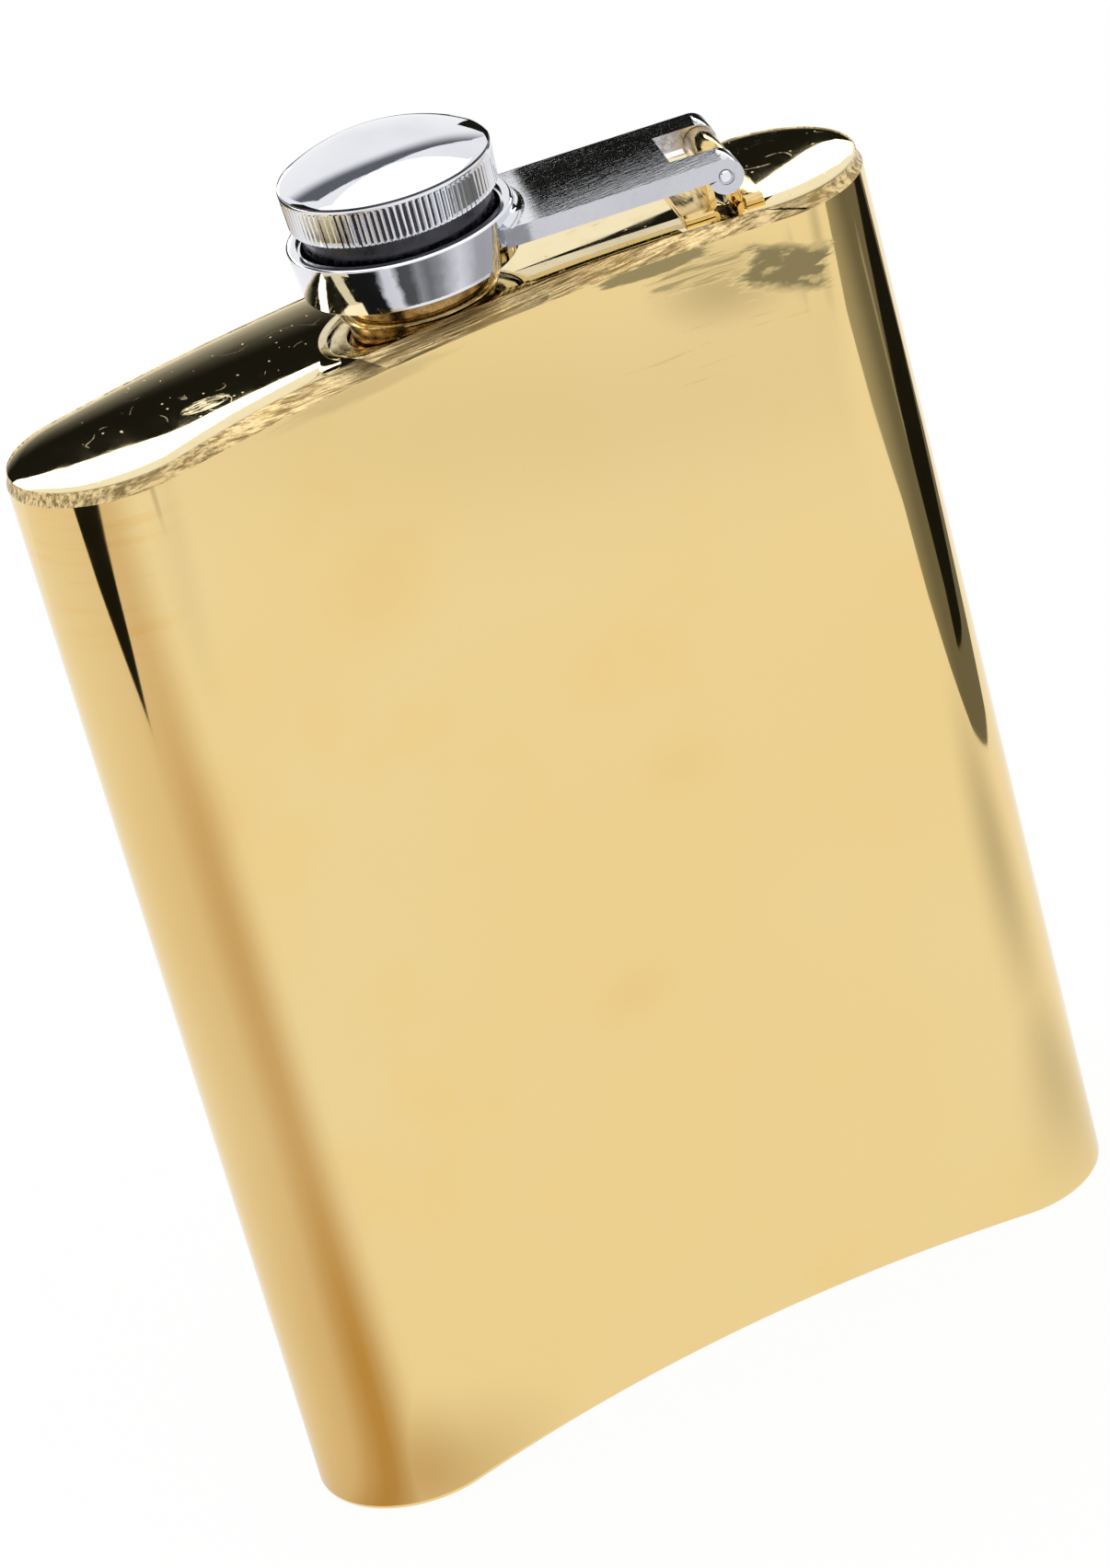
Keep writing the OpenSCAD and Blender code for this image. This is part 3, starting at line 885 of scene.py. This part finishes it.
studio = {
    "floorSize": 6.0, "floorDrop": 0.0002, "floorLight": 0.94, "floorTone": 0.06, "sky": 1.0,
    "ceiling": 1.45, "highlight": 4.0,
    "black": (0.010, 0.010, 0.008), "pale": (0.34, 0.34, 0.34), "arch": (0.05, 0.055, 0.075),
    "warmShade": (0.50, 0.28, 0.03, 1),
    # soft darkness on the ground: where, how far each way, how dark
    "shades": [((-42, -18), (26, 20), 0.55), ((112, -48), (62, 62), 0.34), ((64, -20), (34, 34), 0.26),
               ((168, -262), (75, 36), 0.30), ((60, -250), (260, 60), 0.08), ((27, -285), (26, 22), 0.35)],
    # and how dark it is round the left side, by direction from straight ahead
    "sideShade": [(-180, 0.0), (-121, 0.18), (-90, 0.28), (-72, 0.35), (-58, 0.52), (-46, 0.62),
                  (-38, 0.61), (-28, 0.46), (-16, 0.20), (-6, 0.04), (4, 0.0)],
    # what the ring's wall shows, by direction from straight ahead, on a bent card close in front of it
    "curtainGreys": [(-58, 0.01), (-42, 0.01), (-38, 0.75), (-31, 0.80), (-27, 0.08), (-21, 0.09),
                     (-16, 0.30), (-10, 0.18), (-3, 0.30), (4, 0.58), (11, 0.80), (18, 0.66), (25, 0.44),
                     (31, 0.42), (41, 0.45)],
    "curtainRadius": 14.5, "curtainLow": 120.8, "curtainHigh": 128.8,
    # cards that lie just over the ground, seen in the flask's two sides
    "groundHeights": {"shade": 0.5, "olive": 1.0, "left": 1.5, "right": 1.5, "line": 2.0},
    "shade": [(-420, -420), (420, -420), (420, 220), (-420, 220)],
    "left": [(-335, -96), (-308, -94), (-280, -90), (-240, -99), (-221, -103), (-226, -122), (-231, -142),
             (-238, -165), (-240, -188), (-236, -222), (-335, -225)],
    "olive": [(236, -212), (200, -203), (187, -170), (184, -122), (166, -98), (155, -70), (147, -42),
              (146, -4), (150, 24), (200, 112), (262, 142), (400, 160), (420, -60), (330, -232)],
    "right": [(172, -30), (192, -25), (225, -35), (250, -42), (283, -20), (312, 5), (336, 40), (336, 120),
              (235, 115), (202, 64), (178, 18)],
    "line": [(232, -42), (300, -64), (318, -48), (240, -38)],
    # what the top plate and the arm see, standing close behind
    "behindY": 22.0,
    "behind": [(-60, 133.5), (-34, 133.5), (-24, 134.3), (20, 134.8), (22, 142.6), (46, 142.6), (48, 138),
               (43, 137.8), (43, 135), (55, 132.3), (64, 130.5), (64, 119), (40, 119), (40, 133), (16, 133),
               (16, 119), (-60, 119)],
    "glowLeft": [(-60, 133.5), (-34, 133.5), (-24, 134.3), (-5, 134.6), (-5, 136.2), (-16, 137.6),
                 (-24, 140.0), (-60, 140.5)],
    "glowRight": [(43, 135), (55, 132.3), (64, 130.5), (64, 137.7), (43, 137.7)],
    # the dark arch in the dome, across and up from the cap's height on a far upright card
    "archFacing": 10, "archFar": 600, "archHole": ((50, 193), (280, 430)),
    "archEdge": [(-218, 232), (-267, 306), (-346, 485), (-405, 790), (-290, 920), (-161, 1000), (-52, 1040),
                 (52, 1030), (161, 975), (242, 890), (346, 730), (420, 530), (436, 360), (375, 150)],
    "wallFar": 400, "wall": [(-162, 140), (162, 140), (162, 330), (-162, 330)],
    "wallTurns": {"leftBackWall": -54, "leftWall": -111},
    "ceilingHeight": 900, "ceilingOutline": [(-900, -900), (900, -900), (900, 420), (-900, 420)],
}
middleUp = 15                                             # the cap's middle above the plate


def stageFinish(name, colour, strength=1.0, alpha=None, tint=None):
    # a card that only shows its own light; alpha softens its edges and tint varies its colour
    made = Finish(name, {"Base Color": (0, 0, 0, 1), "Roughness": 1.0, "Specular IOR Level": 0.0,
                         "Emission Color": (*colour, 1), "Emission Strength": strength})
    if alpha:
        made.feed("Alpha", alpha(made))
    if tint:
        made.feed("Emission Color", tint(made))
    return made.material


def forReflections(piece, name, finish):
    # only reflections see it: not the camera, and it throws no shadow
    editing(False)
    piece.name = name
    piece.scale = (millimetre,) * 3
    bpy.ops.object.transform_apply(location=True, rotation=True, scale=True)
    piece.data.materials.append(finish)
    piece.visible_camera = False
    piece.visible_diffuse = False
    piece.visible_shadow = False
    piece.visible_transmission = False


def card(name, points, finish):
    # a flat card with the corners given
    dot(*points[0])
    last = points[0]
    for point in points[1:]:
        pull(*(b - a for a, b in zip(last, point)))
        last = point
    everything()
    bpy.ops.mesh.edge_face_add()
    forReflections(bpy.context.object, name, finish)


def farCard(name, facing, far, outline, finish):
    # an upright card that faces the cap, its outline given across and up from the cap's height
    a = math.radians(facing)
    x, y, z = far * math.sin(a), capPlace["y"] + far * math.cos(a), capPlace["z"] + middleUp
    corners = [(x + across * math.cos(a), y - across * math.sin(a), z + up) for across, up in outline]
    card(name, corners, finish)


def levelCard(name, outline, height, finish):
    card(name, [(x, y, height) for x, y in outline], finish)


def curtain(name, radius, start, end, low, high, finish):
    # a band of card bent round the cap, between two angles from the front towards the right
    a = math.radians(start - 90)
    dot(radius * math.cos(a), capPlace["y"] + radius * math.sin(a), low)
    pull(0, 0, high - low)
    everything()
    sweep(40, end - start, (0, capPlace["y"], 0), (0, 0, 1))
    forReflections(bpy.context.object, name, finish)


def makeFloor():
    bpy.ops.object.select_all(action="DESELECT")
    bpy.ops.mesh.primitive_plane_add(size=studio["floorSize"], location=(0, 0, -studio["floorDrop"]))
    floor = bpy.context.object
    floor.name = "paleFloor"
    tone = studio["floorTone"]
    made = Finish("paleFloor", {"Base Color": (tone, tone, tone, 1), "Roughness": 0.9,
                                "Specular IOR Level": 0.0, "Emission Color": (1, 1, 1, 1),
                                "Emission Strength": studio["floorLight"]})
    floor.data.materials.append(made.material)


def direction(made, x, y):
    # the direction from a place on the ground, in degrees from straight ahead towards the right
    turn = made.node("ShaderNodeMath", {"operation": "ARCTAN2"}, {0: made.x - x, 1: y - made.y})
    return turn * (180 / math.pi)


def floorShade(made):
    x, y = -flask["sideX"], flask["sideY"]
    dark = made.greys(direction(made, x, y), studio["sideShade"])
    far = ((made.x - x) ** 2 + (made.y - y) ** 2) ** 0.5
    dark = dark * made.fade(far, 35, 95, 1.4, 1.0) * made.fade(far, 140, 240, 1.0, 0.7)
    for (x, y), (reachX, reachY), strength in studio["shades"]:
        dark = dark.most(made.spot((x, y, 0.5), (reachX, reachY, 50), soft=1.0) * strength)
    return dark


def floorTint(made):
    # the darkness is warm round the left side and colourless at the right
    return made.blend(made.fade(made.x, -60, 20), studio["warmShade"], (*studio["black"], 1))


def archShade(made):
    (acrossMid, upMid), (acrossReach, upReach) = studio["archHole"]
    facing = math.radians(studio["archFacing"])
    across = (made.x - studio["archFar"] * math.sin(facing)) / math.cos(facing)
    up = made.z - capPlace["z"] - middleUp
    out = (((across - acrossMid) / acrossReach) ** 2 + ((up - upMid) / upReach) ** 2) ** 0.5
    specks = made.fade(made.noise(0.06, 3.0, 0.7), 0.62, 0.72, 1.0, 0.75)
    return made.fade(out, 0.95, 1.5) * specks * 0.92


def behindShade(made):
    # its lower edge is soft, and lower down at the right
    return made.fade(made.z + made.fade(made.x, 5, 35, 0.0, 4.0), 120.5, 130.0)


def curtainTint(made):
    # what the ring's wall shows from left to right: black, a splash of white, greys, white, grey again
    ragged = made.noise(0.5, 4.0, 0.65)
    turn = direction(made, 0, capPlace["y"]) + (ragged - 0.5) * 7
    return made.greys(turn, studio["curtainGreys"], blue=1.03)


def oliveTint(made):
    grey = made.fade(direction(made, flask["sideX"], flask["sideY"]), 38, 72, 0.42, 0.17)
    return made.node("ShaderNodeCombineColor", {}, {"Red": grey, "Green": grey, "Blue": grey * 0.9})


def makeStudio():
    makeFloor()
    st = studio
    world = bpy.data.worlds.new("softSky")
    bpy.context.scene.world = world
    world.use_nodes = True
    sky = world.node_tree.nodes["Background"]
    sky.inputs["Color"].default_value = (1, 1, 1, 1)
    sky.inputs["Strength"].default_value = st["sky"]
    black = stageFinish("blackCard", st["black"])
    glow = stageFinish("glowCard", (1, 1, 1), st["highlight"])
    levelCard("groundShade", st["shade"], st["groundHeights"]["shade"],
              stageFinish("groundShade", st["black"], alpha=floorShade, tint=floorTint))
    for name, finish in (("olive", stageFinish("oliveCard", (1, 1, 1), tint=oliveTint)), ("left", black),
                         ("right", black), ("line", stageFinish("lineCard", st["pale"]))):
        levelCard(name + "Card", st[name], st["groundHeights"][name], finish)
    y = st["behindY"]
    card("behindCard", [(x, y, z) for x, z in st["behind"]],
         stageFinish("behindCard", st["black"], alpha=behindShade))
    card("glowLeft", [(x, y, z) for x, z in st["glowLeft"]], glow)
    card("glowRight", [(x, y, z) for x, z in st["glowRight"]], glow)
    farCard("archCard", st["archFacing"], st["archFar"], st["archEdge"],
            stageFinish("archCard", st["arch"], alpha=archShade))
    for name, facing in st["wallTurns"].items():
        farCard(name, facing, st["wallFar"], st["wall"], black)
    levelCard("ceilingCard", st["ceilingOutline"], st["ceilingHeight"],
              stageFinish("ceilingCard", (1, 1, 1), st["ceiling"]))
    curtain("frontCurtain", st["curtainRadius"], st["curtainGreys"][0][0], st["curtainGreys"][-1][0],
            st["curtainLow"], st["curtainHigh"], stageFinish("frontCurtain", (1, 1, 1), tint=curtainTint))


makeStudio()

view = {
    "azimuth": -18.4928, "elevation": 26.8297, "roll": -15.5613, "lens": 141.82, "sensor": 36.0,
    "distance": 666.99, "target": (5.623, 19.211, 55.331),
}


def makeCamera():
    az, el, roll = (math.radians(view[k]) for k in ("azimuth", "elevation", "roll"))
    back = Vector((math.sin(az) * math.cos(el), -math.cos(az) * math.cos(el), math.sin(el)))
    right = (-back).cross(Vector((0, 0, 1))).normalized()
    up = right.cross(-back)
    sideways = right * math.cos(roll) + up * math.sin(roll)
    upwards = up * math.cos(roll) - right * math.sin(roll)
    place = Vector(view["target"]) + back * view["distance"]
    data = bpy.data.cameras.new("camera")
    data.sensor_fit = "VERTICAL"
    data.sensor_height = view["sensor"]
    data.lens = view["lens"]
    data.clip_start, data.clip_end = 0.01, 50
    camera = bpy.data.objects.new("camera", data)
    bpy.context.scene.collection.objects.link(camera)
    turn = Matrix((sideways, upwards, back)).transposed().to_4x4()
    camera.matrix_world = Matrix.Translation(place * millimetre) @ turn
    bpy.context.scene.camera = camera


makeCamera()
bpy.context.scene.view_settings.view_transform = "Standard"
print("studio and camera made")
